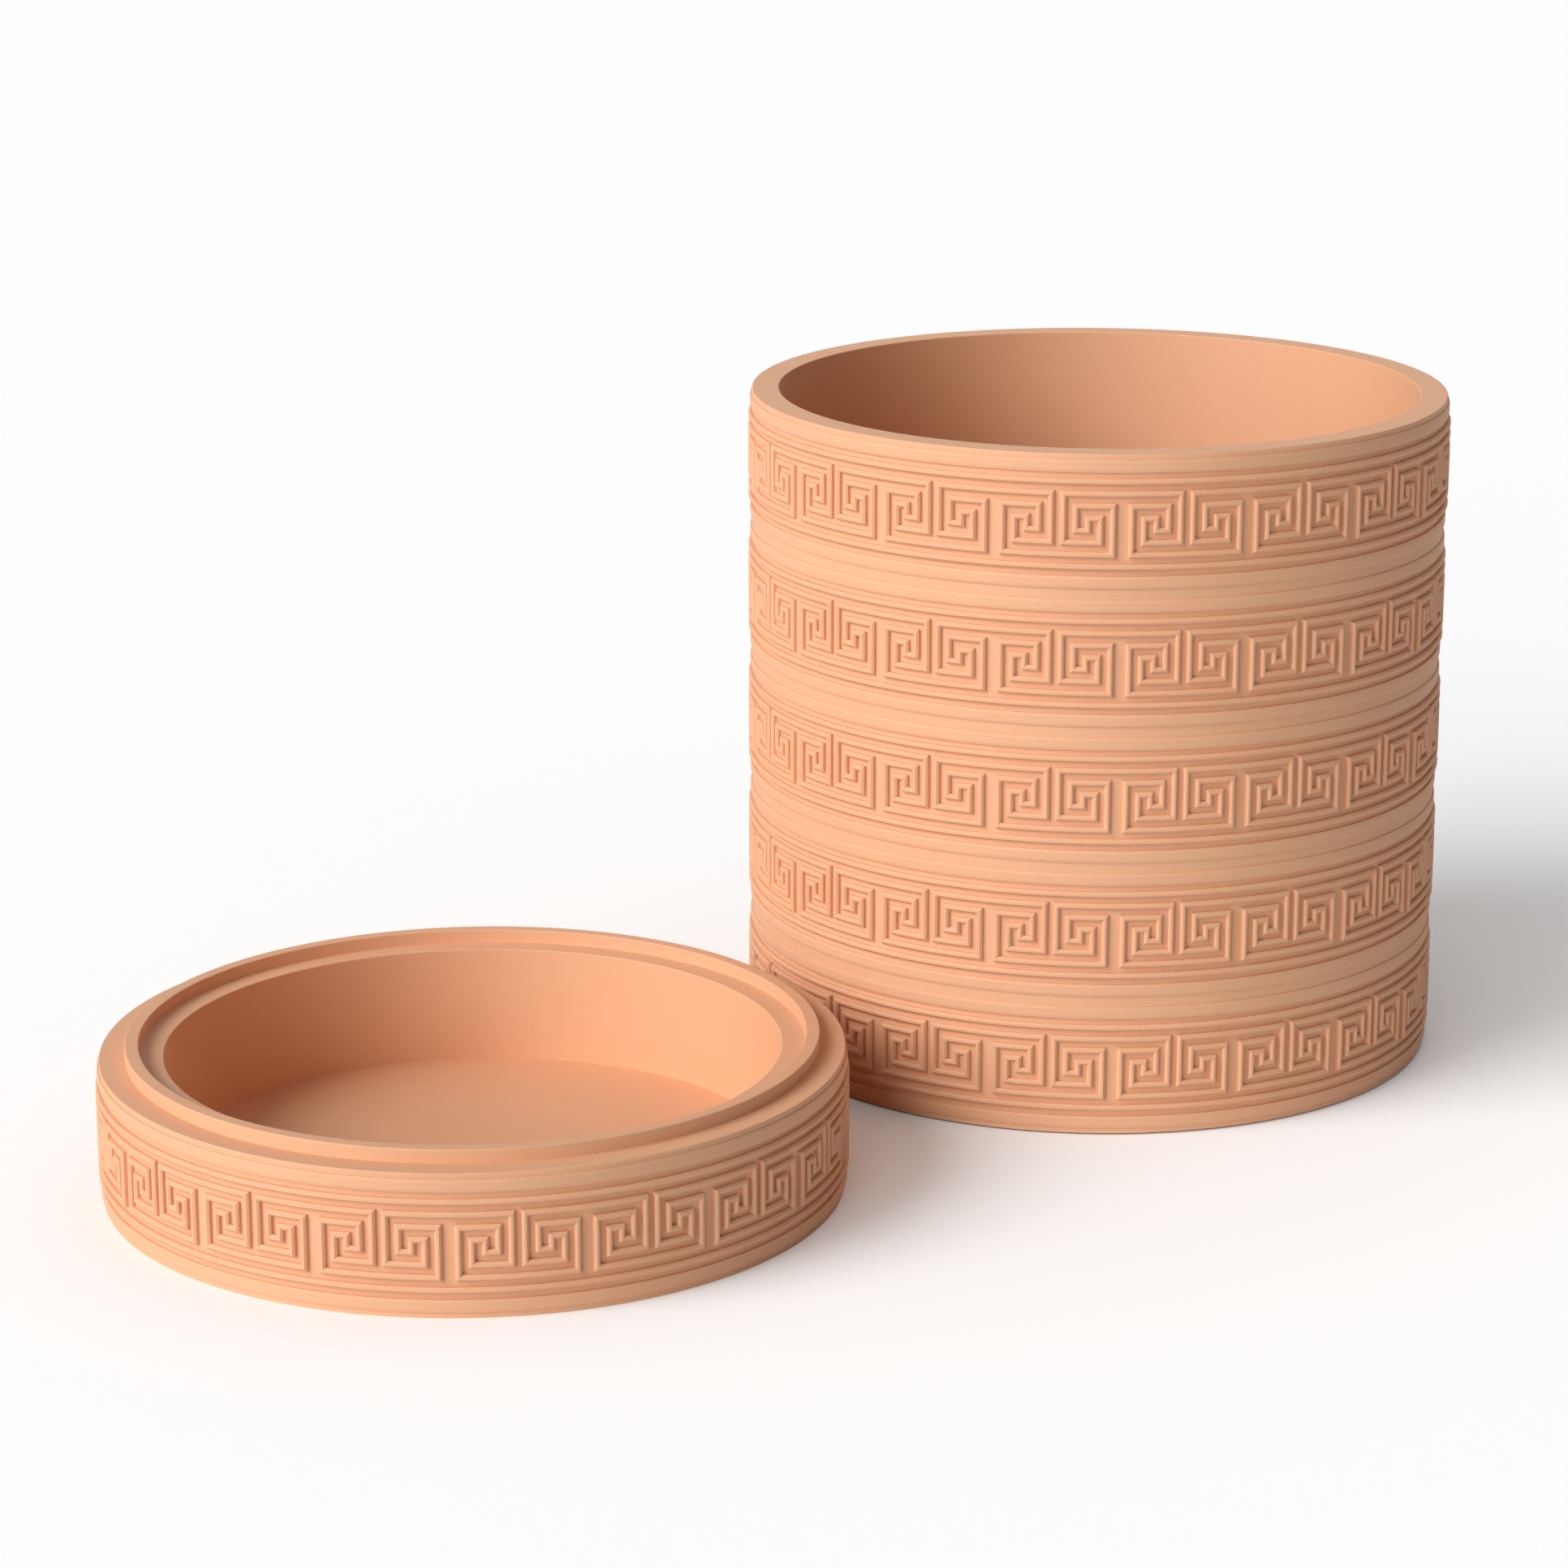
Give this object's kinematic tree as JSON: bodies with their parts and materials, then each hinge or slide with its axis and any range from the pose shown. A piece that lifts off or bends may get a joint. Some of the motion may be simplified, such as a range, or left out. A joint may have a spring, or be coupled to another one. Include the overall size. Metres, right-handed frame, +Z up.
{
  "type": "greek key vase with drip tray",
  "caption": "Matte terracotta cylinder vase with stacked Greek key relief bands and drain holes, standing beside the matching low drip tray whose collar fits a groove under it.",
  "frame": {"origin": "centre of the vase's underside, on the surface that the vase and the tray stand on", "axes": "+Z up along the vase's axis, +Y away from the viewer of the picture, +X to the viewer's right; the key pattern has a gap between two units facing -Y"},
  "size_m": [0.2818, 0.2511, 0.1444],
  "materials": {
    "vase_terracotta": "matte",
    "tray_terracotta": "matte"
  },
  "bodies": {
    "vase": {"vase_body": "vase_terracotta"},
    "tray": {"drip_tray": "tray_terracotta"}
  },
  "joints": [
    {"name": "tray_lift", "type": "slide", "parent": "vase", "child": "tray", "axis": [0, 0, 1], "range_m": [0, 0.18]}
  ]
}
